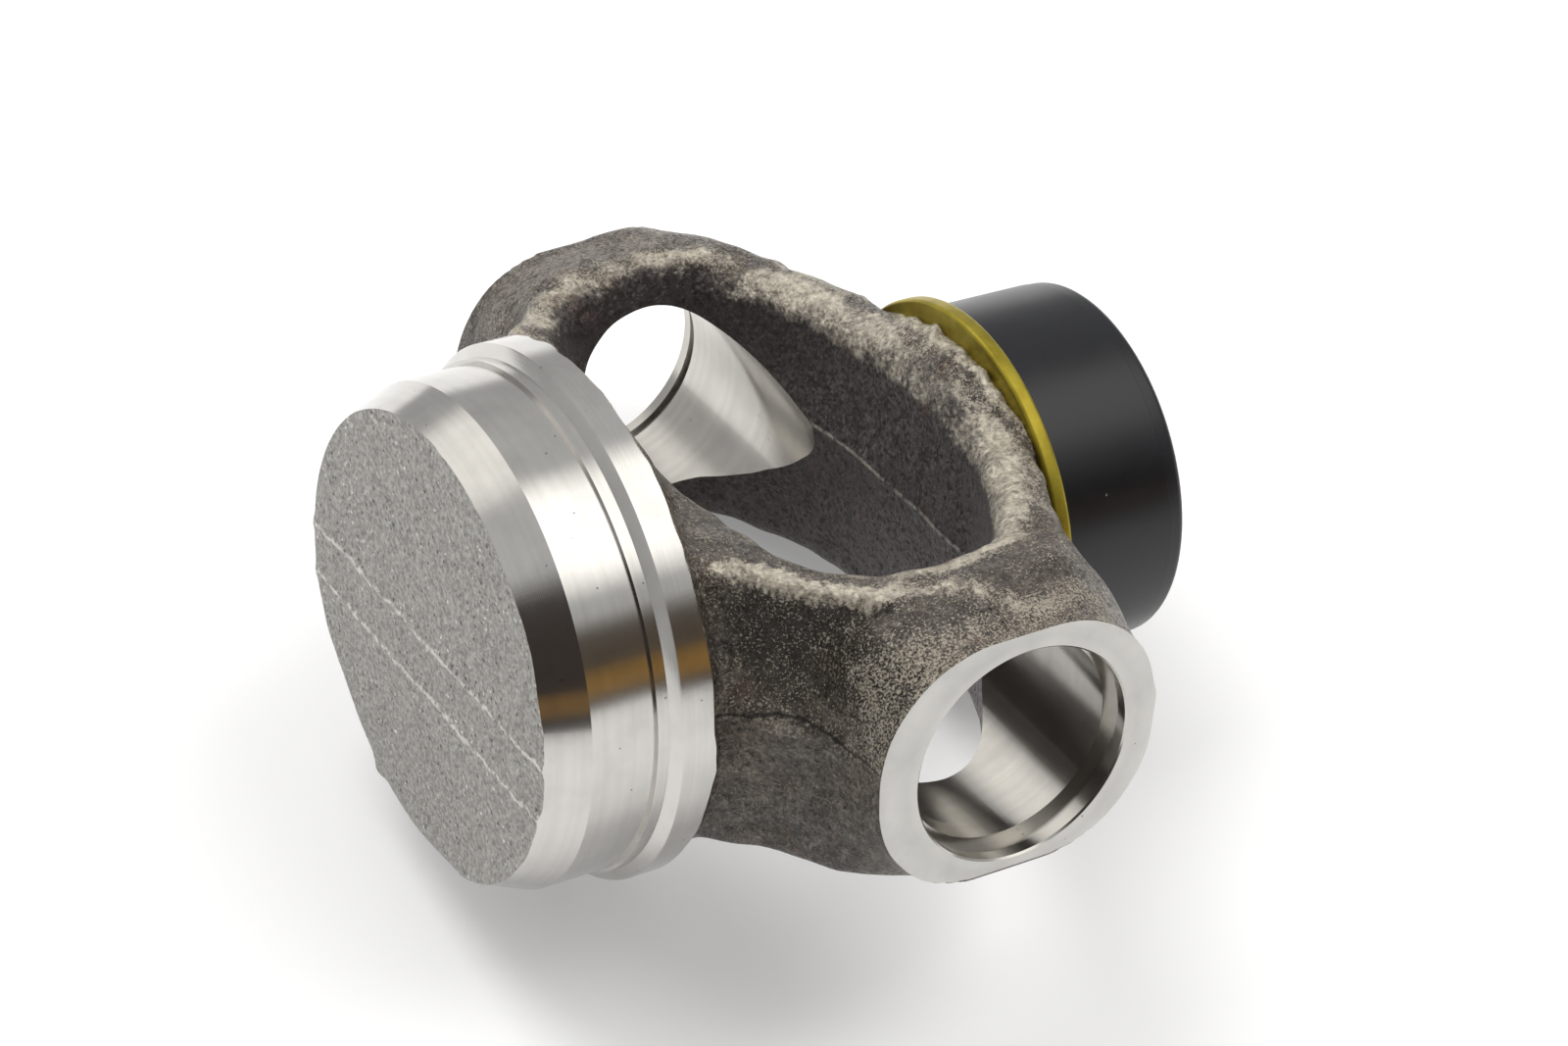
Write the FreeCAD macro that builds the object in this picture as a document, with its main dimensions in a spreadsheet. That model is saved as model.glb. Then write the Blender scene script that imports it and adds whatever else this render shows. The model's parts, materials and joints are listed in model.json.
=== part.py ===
"""Forged weld yoke of a double-Cardan drive shaft, with the seal ring and the moulded cap on its boss.

The pieces are built on the yoke's own axes and then laid down together:
X runs along the shaft from the stub's raw end face towards the cap,
Y is the axis of the ear bores, and Z is the direction in which the forging dies open.
"""
import FreeCAD
import Part
import Sketcher
import math
import os

SIZES = {
    # tube stub, from its raw end face
    "face_radius": 32.2,
    "face_bevel": 6.3,
    "seat_radius": 34.75,
    "seat_length": 9.25,
    "step_radius": 35.3,
    "step_length": 1.7,
    "weld_bevel": 0.6,
    "collar_radius": 36.95,
    "collar_length": 7.0,
    "collar_edge": 0.4,
    # forged loop round the window, with the die parting a little above the shaft axis
    "parting": 2.0,
    "loop_top": 20.5,
    "loop_bottom": 20.5,
    # how far the loop's flanks draw in, above and below the parting, and the hollow of the upper ones
    "top_waist_inset": 6.8,
    "top_shoulder_inset": 4.8,
    "top_bridge_inset": 2.4,
    "flank_level": 9.0,
    "flank_hollow": 0.66,
    "bottom_waist_inset": 4.0,
    "bottom_bridge_inset": 2.4,
    "bridge_back_inset": 0.9,
    "waist_reach": 28.5,
    "waist_half_width": 38.5,
    "hub_taper": 2.9,
    "hub_shoulder_half_width": 48.5,
    "bridge_shoulder_half_width": 43.5,
    "bridge_half_width": 31.0,
    "bridge_corner_radius": 4.5,
    "bridge_thickness": 9.2,
    "hub_back_length": 9.0,
    "hub_back_radius": 22.0,
    "loop_edge_radius": 4.0,
    "loop_corner_radius": 7.0,
    # window
    "window_start": 37.5,
    "window_end": 72.8,
    "window_half_width": 39.3,
    "draft": 6.0,
    "window_slant_start": 62.8,
    "window_slant_half_width": 19.5,
    "window_hub_corner": 17.0,
    "window_ear_corner": 4.5,
    "window_bridge_corner": 10.0,
    # ears and their bores
    "ear_axis": 57.0,
    "ear_half_span": 57.5,
    "ear_hub_reach": 21.0,
    "ear_bridge_reach": 19.4,
    "ear_half_height": 18.0,
    "ear_corner": 16.0,
    "ear_root": 38.0,
    "ear_shoulder": 48.0,
    "ear_shoulder_growth": 0.6,
    "ear_shoulder_half_height": 20.3,
    "ear_shoulder_corner": 11.0,
    "bore_radius": 15.09,
    "mouth_radius": 15.88,
    "ring_groove_radius": 16.55,
    "ring_groove_half_span": 53.2,
    "ring_groove_width": 2.4,
    "tool_clearance": 1.0,
    # boss, seal ring and cap
    "boss_growth": 4.7,
    "boss_lip": 1.5,
    "spigot_radius": 24.2,
    "spigot_length": 14.0,
    "spigot_chamfer": 1.0,
    "ring_height": 3.7,
    "ring_thickness": 2.4,
    "ring_edge": 0.6,
    "cap_side_wall": 1.7,
    "cap_taper": 0.5,
    "cap_length": 20.0,
    "cap_wall": 1.8,
    "cap_edge": 0.9,
}

# How near to its place, in millimetres, an edge must lie to be picked for rounding.
PICK_TOLERANCE = 0.01
# Steps in which the resting roll settles on its value.
ROLL_STEPS = 30

doc = FreeCAD.newDocument("weld_yoke")
sheet = doc.addObject("Spreadsheet::Sheet", "Sizes")
for row, (alias, size) in enumerate(SIZES.items(), start=1):
    sheet.set(f"A{row}", alias)
    sheet.set(f"B{row}", str(size))
    sheet.setAlias(f"B{row}", alias)
doc.recompute()

# Places along the shaft, written once and used by every piece that meets them.
SEAT_END = "(Sizes.face_bevel + Sizes.seat_length)"
STEP_END = f"({SEAT_END} + Sizes.step_length)"
COLLAR_BACK = f"({STEP_END} + Sizes.collar_length)"
BRIDGE_BACK = "(Sizes.window_end + Sizes.bridge_thickness)"
CAP_ROOT = f"({BRIDGE_BACK} + Sizes.ring_thickness)"
CAP_END = f"({CAP_ROOT} + Sizes.cap_length)"
# The loop starts inside the stub, a little narrower than at the waist.
HUB_HALF_WIDTH = "(Sizes.waist_half_width - Sizes.hub_taper)"
# Radii about the shaft axis, all worked out from the spigot's.
BOSS_RADIUS = "(Sizes.spigot_radius + Sizes.boss_lip)"
BOSS_ROOT_RADIUS = f"({BOSS_RADIUS} - Sizes.boss_growth)"
RING_RADIUS = "(Sizes.spigot_radius + Sizes.ring_height)"
CAP_ROOT_RADIUS = "(Sizes.spigot_radius + Sizes.cap_side_wall)"
CAP_END_RADIUS = f"({CAP_ROOT_RADIUS} - Sizes.cap_taper)"


def number(text):
    """The value in millimetres or degrees of an expression on the sheet."""
    return float(sheet.evalExpression(str(text)))


def origin_feature(body, role):
    return next(item for item in body.Origin.OriginFeatures if item.Role == role)


def new_body(label):
    body = doc.addObject("PartDesign::Body", label)
    body.Label = label
    return body


def new_sketch(body, name, plane, offset="0"):
    """A sketch on one of the body's own planes, moved along the plane's normal."""
    sketch = body.newObject("Sketcher::SketchObject", name)
    sketch.AttachmentSupport = [(origin_feature(body, plane), "")]
    sketch.MapMode = "FlatFace"
    sketch.AttachmentOffset = FreeCAD.Placement(FreeCAD.Vector(0, 0, number(offset)), FreeCAD.Rotation())
    if offset != "0":
        sketch.setExpression("AttachmentOffset.Base.z", offset)
    return sketch


def bind(sketch, constraint, text):
    index = sketch.addConstraint(constraint)
    sketch.setExpression(f"Constraints[{index}]", text)


def place_point(sketch, geometry, position, x_text, y_text):
    bind(sketch, Sketcher.Constraint("DistanceX", -1, 1, geometry, position, number(x_text)), x_text)
    bind(sketch, Sketcher.Constraint("DistanceY", -1, 1, geometry, position, number(y_text)), y_text)


def draw_polygon(sketch, corners):
    """Straight closed outline; each corner is a pair of expressions."""
    points = [FreeCAD.Vector(number(x), number(y), 0) for x, y in corners]
    lines = []
    for start, end in zip(points, points[1:] + points[:1]):
        lines.append(sketch.addGeometry(Part.LineSegment(start, end), False))
    for line, following in zip(lines, lines[1:] + lines[:1]):
        sketch.addConstraint(Sketcher.Constraint("Coincident", line, 2, following, 1))
    for line, (x_text, y_text) in zip(lines, corners):
        place_point(sketch, line, 1, x_text, y_text)
    return lines


def draw_rounded_polygon(sketch, corners):
    """Closed outline whose corners are (x, y, radius) expressions, each rounded by a tangent arc."""
    sharp = [FreeCAD.Vector(number(x), number(y), 0) for x, y, radius in corners]
    count = len(corners)
    arcs = []
    ends = []
    for index, corner in enumerate(sharp):
        radius = number(corners[index][2])
        back = (sharp[index - 1] - corner).normalize()
        ahead = (sharp[(index + 1) % count] - corner).normalize()
        half_angle = back.getAngle(ahead) / 2
        reach = radius / math.tan(half_angle)
        centre = corner + (back + ahead).normalize() * (radius / math.sin(half_angle))
        start, end = corner + back * reach, corner + ahead * reach
        turns_left = (back.cross(ahead)).z < 0
        first, last = (start, end) if turns_left else (end, start)
        angles = [math.atan2(point.y - centre.y, point.x - centre.x) for point in (first, last)]
        if angles[1] < angles[0]:
            angles[1] += 2 * math.pi
        circle = Part.Circle(centre, FreeCAD.Vector(0, 0, 1), radius)
        arc = sketch.addGeometry(Part.ArcOfCircle(circle, *angles), False)
        arcs.append((arc, (1, 2) if turns_left else (2, 1)))
        ends.append((start, end))
    lines = []
    for index in range(count):
        leave, arrive = ends[index][1], ends[(index + 1) % count][0]
        lines.append(sketch.addGeometry(Part.LineSegment(leave, arrive), False))
    for index, (arc, (first, last)) in enumerate(arcs):
        x_text, y_text, radius_text = corners[index]
        sketch.addConstraint(Sketcher.Constraint("Tangent", lines[index - 1], 2, arc, first))
        sketch.addConstraint(Sketcher.Constraint("Tangent", arc, last, lines[index], 1))
        bind(sketch, Sketcher.Constraint("Radius", arc, number(radius_text)), radius_text)
        point = sketch.addGeometry(Part.Point(sharp[index]), True)
        sketch.addConstraint(Sketcher.Constraint("PointOnObject", point, 1, lines[index - 1]))
        sketch.addConstraint(Sketcher.Constraint("PointOnObject", point, 1, lines[index]))
        place_point(sketch, point, 1, x_text, y_text)


def mirrored_outline(half):
    """Close a half outline on the positive side by its mirror image in the shaft's plane."""
    other = [(x, f"-({y})", *rest) for x, y, *rest in reversed(half)]
    return list(half) + other


def revolve(body, name, profile):
    """Turn a closed profile of (x, radius) expressions round the shaft axis."""
    sketch = new_sketch(body, name + "_profile", "XY_Plane")
    draw_polygon(sketch, profile)
    feature = body.newObject("PartDesign::Revolution", name)
    feature.Profile = sketch
    feature.ReferenceAxis = (origin_feature(body, "X_Axis"), [""])
    feature.Angle = 360
    body.Tip = feature


def fillet(body, name, radius, picked):
    """Round the edges of the body's tip that the test picks."""
    doc.recompute()
    base = body.Tip
    names = [f"Edge{index}" for index, edge in enumerate(base.Shape.Edges, start=1) if picked(edge)]
    feature = body.newObject("PartDesign::Fillet", name)
    feature.Base = (base, names)
    feature.setExpression("Radius", radius)
    body.Tip = feature


def middle(edge):
    return edge.valueAt((edge.FirstParameter + edge.LastParameter) / 2)


def two_sided(feature, sketch, up, down, taper):
    """Send a sketch on the parting plane both ways, with the forging draft on each side."""
    feature.Profile = sketch
    feature.SideType = "Two sides"
    feature.setExpression("Length", up)
    feature.setExpression("Length2", down)
    feature.setExpression("TaperAngle", taper)
    feature.setExpression("TaperAngle2", taper)


def draw_loop_section(body, name, level, waist, shoulder, bridge, back):
    """The loop's outline at one level, drawn in from the parting outline by the given insets."""
    hub_x, waist_x = "Sizes.waist_reach - Sizes.hub_back_length", "Sizes.waist_reach"
    shoulder_x = f"Sizes.ear_axis - Sizes.ear_hub_reach + {shoulder}"
    bridge_x = f"Sizes.ear_axis + Sizes.ear_bridge_reach - {bridge}"
    section = new_sketch(body, name, "XY_Plane", level)
    half = [
        (hub_x, f"{HUB_HALF_WIDTH} - {waist}", "Sizes.loop_corner_radius"),
        (waist_x, f"Sizes.waist_half_width - {waist}", "Sizes.loop_corner_radius"),
        (shoulder_x, f"Sizes.hub_shoulder_half_width - {shoulder}", "Sizes.loop_corner_radius"),
        (bridge_x, f"Sizes.bridge_shoulder_half_width - {bridge}", "Sizes.loop_corner_radius"),
        (f"{BRIDGE_BACK} - {back}", f"Sizes.bridge_half_width - {bridge}", "Sizes.bridge_corner_radius"),
    ]
    draw_rounded_polygon(section, mirrored_outline(half))
    return section


def add_loop(body):
    """The forged loop: hub, two arms, ear roots and bridge, drawn in both ways from the parting plane."""
    hollow = "Sizes.flank_hollow"
    rise = "(Sizes.flank_level - Sizes.parting) / (Sizes.loop_top - Sizes.parting)"
    waist, shoulder, bridge = "Sizes.top_waist_inset", "Sizes.top_shoulder_inset", "Sizes.top_bridge_inset"
    back = "Sizes.bridge_back_inset"
    flank_insets = (f"{hollow} * {waist}", f"{hollow} * {shoulder}", f"{rise} * {bridge}", f"{rise} * {back}")
    low_insets = ("Sizes.bottom_waist_inset", "Sizes.bottom_bridge_inset", "Sizes.bottom_bridge_inset", back)
    halves = {
        "upper": [
            draw_loop_section(body, "upper_parting", "Sizes.parting", "0", "0", "0", "0"),
            draw_loop_section(body, "upper_flank", "Sizes.flank_level", *flank_insets),
            draw_loop_section(body, "upper_flat", "Sizes.loop_top", waist, shoulder, bridge, back),
        ],
        "lower": [
            draw_loop_section(body, "lower_parting", "Sizes.parting", "0", "0", "0", "0"),
            draw_loop_section(body, "lower_flat", "-Sizes.loop_bottom", *low_insets),
        ],
    }
    for name, sections in halves.items():
        half = body.newObject("PartDesign::AdditiveLoft", f"{name}_loop")
        half.Profile = sections[0]
        half.Sections = sections[1:]
        half.Ruled = True
        body.Tip = half
    doc.recompute()
    top, bottom = number("Sizes.loop_top"), -number("Sizes.loop_bottom")
    fillet(
        body,
        "loop_edges",
        "Sizes.loop_edge_radius",
        lambda edge: min(abs(middle(edge).z - top), abs(middle(edge).z - bottom)) < PICK_TOLERANCE,
    )


def draw_ear_section(body, name, distance, growth, half_height, corner):
    section = new_sketch(body, name, "XZ_Plane", distance)
    left = f"Sizes.ear_axis - Sizes.ear_hub_reach - {growth}"
    right = f"Sizes.ear_axis + Sizes.ear_bridge_reach + {growth}"
    draw_rounded_polygon(
        section,
        [
            (left, half_height, corner),
            (right, half_height, corner),
            (right, f"-{half_height}", corner),
            (left, f"-{half_height}", corner),
        ],
    )
    return section


def add_ears(body):
    """The two ears, each straight out of the loop to its shoulder and tapering to its milled face."""
    shoulder = ("Sizes.ear_shoulder_growth", "Sizes.ear_shoulder_half_height", "Sizes.ear_shoulder_corner")
    face = ("0", "Sizes.ear_half_height", "Sizes.ear_corner")
    for side, sign in (("far", "-"), ("near", "")):
        sections = [
            draw_ear_section(body, f"{side}_ear_root", f"{sign}Sizes.ear_root", *shoulder),
            draw_ear_section(body, f"{side}_ear_shoulder", f"{sign}Sizes.ear_shoulder", *shoulder),
            draw_ear_section(body, f"{side}_ear_face", f"{sign}Sizes.ear_half_span", *face),
        ]
        ear = body.newObject("PartDesign::AdditiveLoft", f"{side}_ear")
        ear.Profile = sections[0]
        ear.Sections = sections[1:]
        ear.Ruled = True
        body.Tip = ear


def add_stub(body):
    """The turned tube stub, and the round back of the hub behind its collar."""
    hub_back = f"{COLLAR_BACK} + Sizes.hub_back_length"
    revolve(
        body,
        "stub",
        [
            ("0", "0"),
            ("0", "Sizes.face_radius"),
            ("Sizes.face_bevel", "Sizes.seat_radius"),
            (SEAT_END, "Sizes.seat_radius"),
            (SEAT_END, "Sizes.step_radius"),
            (STEP_END, "Sizes.step_radius"),
            (f"{STEP_END} + Sizes.weld_bevel", "Sizes.collar_radius"),
            (f"{COLLAR_BACK} - Sizes.collar_edge", "Sizes.collar_radius"),
            (COLLAR_BACK, "Sizes.collar_radius - Sizes.collar_edge"),
            (hub_back, "Sizes.hub_back_radius"),
            (hub_back, "0"),
        ],
    )


def add_boss(body):
    """The round boss on the bridge, with the spigot that carries the ring and the cap."""
    spigot_end = f"{BRIDGE_BACK} + Sizes.spigot_length"
    revolve(
        body,
        "boss",
        [
            ("Sizes.window_end", "0"),
            ("Sizes.window_end", BOSS_ROOT_RADIUS),
            (BRIDGE_BACK, BOSS_RADIUS),
            (BRIDGE_BACK, "Sizes.spigot_radius"),
            (f"{spigot_end} - Sizes.spigot_chamfer", "Sizes.spigot_radius"),
            (spigot_end, "Sizes.spigot_radius - Sizes.spigot_chamfer"),
            (spigot_end, "0"),
        ],
    )


def cut_window(body):
    """The window through the loop, narrowest at the parting plane."""
    outline = new_sketch(body, "window_outline", "XY_Plane", "Sizes.parting")
    half = [
        ("Sizes.window_start", "Sizes.window_half_width", "Sizes.window_hub_corner"),
        ("Sizes.window_slant_start", "Sizes.window_half_width", "Sizes.window_ear_corner"),
        ("Sizes.window_end", "Sizes.window_slant_half_width", "Sizes.window_bridge_corner"),
    ]
    draw_rounded_polygon(outline, mirrored_outline(half))
    window = body.newObject("PartDesign::Pocket", "window")
    beyond = BOSS_RADIUS
    two_sided(window, outline, beyond, beyond, "Sizes.draft")
    body.Tip = window


def cut_bores(body):
    """The bearing bores through both ears, with their mouths and snap-ring grooves."""
    circle_sketch = new_sketch(body, "bore_outline", "XZ_Plane")
    centre = FreeCAD.Vector(number("Sizes.ear_axis"), 0, 0)
    circle = sketch_circle(circle_sketch, centre, "Sizes.bore_radius")
    place_point(circle_sketch, circle, 3, "Sizes.ear_axis", "0")
    bores = body.newObject("PartDesign::Pocket", "bores")
    bores.Profile = circle_sketch
    bores.SideType = "Symmetric"
    bores.setExpression("Length", "2 * (Sizes.ear_half_span + Sizes.tool_clearance)")
    body.Tip = bores
    for side, sign in (("far", ""), ("near", "-")):
        groove_inner = "Sizes.ring_groove_half_span"
        groove_outer = "(Sizes.ring_groove_half_span + Sizes.ring_groove_width)"
        beyond = "(Sizes.ear_half_span + Sizes.tool_clearance)"
        profile = [
            ("Sizes.ear_axis", f"{sign}{groove_inner}"),
            ("Sizes.ear_axis + Sizes.ring_groove_radius", f"{sign}{groove_inner}"),
            ("Sizes.ear_axis + Sizes.ring_groove_radius", f"{sign}{groove_outer}"),
            ("Sizes.ear_axis + Sizes.mouth_radius", f"{sign}{groove_outer}"),
            ("Sizes.ear_axis + Sizes.mouth_radius", f"{sign}{beyond}"),
            ("Sizes.ear_axis", f"{sign}{beyond}"),
        ]
        sketch = new_sketch(body, f"{side}_mouth_profile", "XY_Plane")
        lines = draw_polygon(sketch, profile)
        mouth = body.newObject("PartDesign::Groove", f"{side}_mouth")
        mouth.Profile = sketch
        mouth.ReferenceAxis = (sketch, [f"Edge{lines[-1] + 1}"])
        mouth.Angle = 360
        body.Tip = mouth


def sketch_circle(sketch, centre, radius):
    circle = Part.Circle(centre, FreeCAD.Vector(0, 0, 1), number(radius))
    index = sketch.addGeometry(circle, False)
    bind(sketch, Sketcher.Constraint("Radius", index, number(radius)), radius)
    return index


def make_forging():
    body = new_body("yoke_forging")
    add_loop(body)
    add_ears(body)
    add_stub(body)
    add_boss(body)
    cut_window(body)
    cut_bores(body)
    return body


def make_seal_ring():
    body = new_body("seal_ring")
    revolve(
        body,
        "ring",
        [
            (BRIDGE_BACK, "Sizes.spigot_radius"),
            (BRIDGE_BACK, f"{RING_RADIUS} - Sizes.ring_edge"),
            (f"{BRIDGE_BACK} + Sizes.ring_edge", RING_RADIUS),
            (f"{CAP_ROOT} - Sizes.ring_edge", RING_RADIUS),
            (CAP_ROOT, f"{RING_RADIUS} - Sizes.ring_edge"),
            (CAP_ROOT, "Sizes.spigot_radius"),
        ],
    )
    return body


def make_end_cap():
    body = new_body("end_cap")
    revolve(
        body,
        "cap",
        [
            (CAP_ROOT, "Sizes.spigot_radius"),
            (CAP_ROOT, CAP_ROOT_RADIUS),
            (CAP_END, CAP_END_RADIUS),
            (CAP_END, "0"),
            (f"{CAP_END} - Sizes.cap_wall", "0"),
            (f"{CAP_END} - Sizes.cap_wall", "Sizes.spigot_radius"),
        ],
    )
    outer_end = number(CAP_END)
    rim = number(CAP_END_RADIUS)
    fillet(
        body,
        "cap_rim",
        "Sizes.cap_edge",
        lambda edge: edge.Length > 2 * rim and abs(middle(edge).x - outer_end) < PICK_TOLERANCE,
    )
    return body


def lying_rotation():
    """The turn that rests the yoke on its collar, its cap's end rim and the lower edge of its far ear."""
    collar, cap_rim = number("Sizes.collar_radius"), number(f"{CAP_END_RADIUS} - Sizes.cap_edge")
    collar_back = number(f"{COLLAR_BACK} - Sizes.collar_edge")
    lean = math.atan2(collar - cap_rim, number(CAP_END) - collar_back)
    corner = number("Sizes.ear_corner")
    corner_x = number("Sizes.ear_axis + Sizes.ear_bridge_reach") - corner
    corner_z = number("Sizes.ear_half_height") - corner
    span = number("Sizes.ear_half_span")
    reach = collar - math.tan(lean) * (corner_x - collar_back)
    roll = 0.0
    for step in range(ROLL_STEPS):
        slope = math.hypot(math.tan(lean), math.cos(roll))
        roll = math.asin((reach - corner_z * math.cos(roll) - corner * slope) / span)
    up = FreeCAD.Vector(-math.sin(lean), -math.cos(lean) * math.sin(roll), math.cos(lean) * math.cos(roll))
    shaft = FreeCAD.Vector(1, 0, 0)
    along = (shaft - up * shaft.dot(up)).normalize()
    across = up.cross(along)
    turn = FreeCAD.Matrix(*along, 0, *across, 0, *up, 0, 0, 0, 0, 1)
    return FreeCAD.Rotation(turn)


def lay_down(bodies):
    """Give every piece the same placement, with the origin below the middle of the part's box."""
    turn = lying_rotation()
    turned = [body.Shape.transformed(FreeCAD.Placement(FreeCAD.Vector(), turn).toMatrix()) for body in bodies]
    box = Part.makeCompound(turned).optimalBoundingBox()
    base = FreeCAD.Vector(-box.Center.x, -box.Center.y, -box.ZMin)
    for body in bodies:
        body.Placement = FreeCAD.Placement(base, turn)


def check(bodies):
    for item in doc.Objects:
        if {"Invalid", "Error"} & set(item.State):
            raise RuntimeError(f"{item.Name} did not compute: {item.State}")
    for body in bodies:
        if body.Shape.isNull() or not body.Shape.isValid() or len(body.Shape.Solids) != 1:
            raise RuntimeError(f"{body.Label} is not one valid solid")


bodies = [make_forging(), make_seal_ring(), make_end_cap()]
doc.recompute()
check(bodies)
lay_down(bodies)
doc.recompute()
check(bodies)
os.makedirs("parts", exist_ok=True)
for body in bodies:
    body.Shape.exportStep(f"parts/{body.Label}.step")
    print(body.Label, "volume in cubic centimetres", round(body.Shape.Volume / 1000, 2))
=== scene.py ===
"""Looks of the forged weld yoke: the forging with its machined faces, the seal ring, the cap and the studio.

Shapes are worked out in millimetres on the yoke's own axes, the same as in the solid model:
X along the shaft from the raw end face, Y along the ear bores, Z the way the forging dies open.
settle() lays each finished piece down in the shared frame, and the materials find the yoke's axes again.
"""

import json
import math

import bmesh
import bpy
import numpy as np
from mathutils import Matrix, Vector

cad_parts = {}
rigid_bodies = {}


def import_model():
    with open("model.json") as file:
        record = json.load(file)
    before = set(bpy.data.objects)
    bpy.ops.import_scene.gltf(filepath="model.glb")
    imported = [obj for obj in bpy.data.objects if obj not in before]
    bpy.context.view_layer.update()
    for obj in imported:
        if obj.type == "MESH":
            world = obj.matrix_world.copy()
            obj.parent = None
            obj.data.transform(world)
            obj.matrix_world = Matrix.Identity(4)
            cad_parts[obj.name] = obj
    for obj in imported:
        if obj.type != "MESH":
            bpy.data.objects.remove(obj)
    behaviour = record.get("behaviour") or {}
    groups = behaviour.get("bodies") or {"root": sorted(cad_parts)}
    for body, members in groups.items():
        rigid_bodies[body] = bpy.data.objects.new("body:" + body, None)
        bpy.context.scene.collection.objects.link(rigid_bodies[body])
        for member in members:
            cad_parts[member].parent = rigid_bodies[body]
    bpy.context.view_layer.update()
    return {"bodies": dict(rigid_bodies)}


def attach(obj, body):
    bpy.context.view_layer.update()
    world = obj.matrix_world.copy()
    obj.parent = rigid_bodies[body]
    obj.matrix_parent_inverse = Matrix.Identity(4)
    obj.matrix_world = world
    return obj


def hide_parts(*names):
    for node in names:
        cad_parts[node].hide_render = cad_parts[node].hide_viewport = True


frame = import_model()

MM = 0.001
BODY = "root" if "root" in frame["bodies"] else next(iter(frame["bodies"]))

# How the yoke lies: the shaft's lean, the roll about it, and where its origin comes to be, in metres.
LEAN = math.radians(8.786246)
ROLL = math.radians(13.69873)
BASE = (-0.05100633, 0.0, 0.04094393)


def resting_matrix():
    """The placement that takes the yoke's own axes to the shared frame."""
    up = Vector((-math.sin(LEAN), -math.cos(LEAN) * math.sin(ROLL), math.cos(LEAN) * math.cos(ROLL)))
    shaft = Vector((1, 0, 0))
    along = (shaft - up * shaft.dot(up)).normalized()
    across = up.cross(along)
    turn = Matrix((along, across, up))
    return Matrix.Translation(BASE) @ turn.to_4x4()


REST = resting_matrix()

# Machined sizes, the same as in the solid model.
FACE_RADIUS = 32.2
BEVEL_END = 6.3
SEAT_RADIUS = 34.75
SEAT_END = 15.55
STEP_RADIUS = 35.3
STEP_END = 17.25
WELD_BEVEL = 0.9
COLLAR_RADIUS = 36.95
COLLAR_CHAMFER = 0.25
# Where the turned collar runs out into the raw hub: place along X and height over the collar.
COLLAR_RUNOUT = [(24.9, 0.0), (25.6, 0.3), (26.1, 0.9), (26.3, 1.8)]
EAR_AXIS = 57.0
EAR_FACE = 57.5
BORE_RADIUS = 15.09
MOUTH_RADIUS = 15.88
MOUTH_CHAMFER = 0.25
GROOVE_RADIUS = 16.55
GROOVE_INNER = 53.2
GROOVE_OUTER = 55.6
BRIDGE_BACK = 82.0
SPIGOT_RADIUS = 24.2
SPIGOT_END = 96.0
RING_RADIUS = 27.9
RING_END = 84.4
RING_ROUND = 0.55
CAP_END = 104.4
CAP_MOUTH_RADIUS = 25.6
CAP_FOOT_RADIUS = 25.9
CAP_CHAMFER = 0.3
CAP_RADIUS = 25.3
CAP_ROUND = 1.1
CAP_FLOOR = 1.8
# The fine step round the cap near its end: distance from the end and radius, twice.
CAP_STEP = [(2.6, 25.46), (2.5, 25.36)]

# The grid of the field that the raw forging is cut from.
PITCH = 0.72
LOW = np.array((-2.4, -61.6, -40.0))
HIGH = np.array((98.4, 61.6, 40.0))

AX, AY, AZ = (np.arange(low, high + PITCH / 2, PITCH, dtype=np.float32) for low, high in zip(LOW, HIGH))
X = AX[:, None, None]
Y = AY[None, :, None]
Z = AZ[None, None, :]


def step01(value, low, high):
    """Smooth step from 0 at low to 1 at high."""
    t = np.clip((value - low) / (high - low), 0, 1)
    return t * t * (3 - 2 * t)


def until(value, low, high):
    """Smooth step the other way, from 1 at low to 0 at high."""
    return 1 - step01(value, low, high)


def bell(value, width):
    """1 at zero, falling off within about that width on both sides."""
    return np.exp(-((value / width) ** 2))


def join(a, b, blend):
    """Union of two fields, with a fillet of about the blend's size."""
    h = np.clip(0.5 + 0.5 * (b - a) / blend, 0, 1)
    return b + (a - b) * h - blend * h * (1 - h)


def meet(a, b, blend):
    """Intersection of two fields, with an edge rounding of about the blend's size."""
    return -join(-a, -b, blend)


def lerp(a, b, share):
    """The first value where the share is 0, the second where it is 1."""
    return a * (1 - share) + b * share


def plan_distance(outline):
    """Signed distance, negative inside, from a closed outline in the XY plane, over the grid."""
    px, py = np.meshgrid(AX, AY, indexing="ij")
    points = np.array(outline, dtype=np.float32)
    nearest = np.full(px.shape, np.inf, dtype=np.float32)
    inside = np.zeros(px.shape, dtype=bool)
    for (x0, y0), (x1, y1) in zip(points, np.roll(points, -1, axis=0)):
        dx, dy = x1 - x0, y1 - y0
        if dx == 0 and dy == 0:
            continue
        t = np.clip(((px - x0) * dx + (py - y0) * dy) / (dx * dx + dy * dy), 0, 1)
        nearest = np.minimum(nearest, np.hypot(px - x0 - t * dx, py - y0 - t * dy))
        crosses = (y0 > py) != (y1 > py)
        with np.errstate(divide="ignore", invalid="ignore"):
            at = x0 + (py - y0) * dx / dy
        inside ^= crosses & (px < at)
    return np.where(inside, -nearest, nearest)


def soften(field, reach):
    """Average a field over a small tent along each of its axes, some grid steps wide."""
    weights = np.concatenate((np.arange(1, reach + 2), np.arange(reach, 0, -1))).astype(np.float32)
    weights /= weights.sum()
    for axis in range(field.ndim):
        margins = [(reach, reach) if n == axis else (0, 0) for n in range(field.ndim)]
        padded = np.pad(field, margins, mode="edge")
        total = np.zeros_like(field)
        for shift, weight in enumerate(weights):
            index = [slice(None)] * field.ndim
            index[axis] = slice(shift, shift + field.shape[axis])
            total += weight * padded[tuple(index)]
        field = total
    return field


def plan_field(outline, reach):
    """Softened distance from an outline in plan, the same at every height."""
    return soften(plan_distance(outline), reach)[:, :, None]


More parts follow.
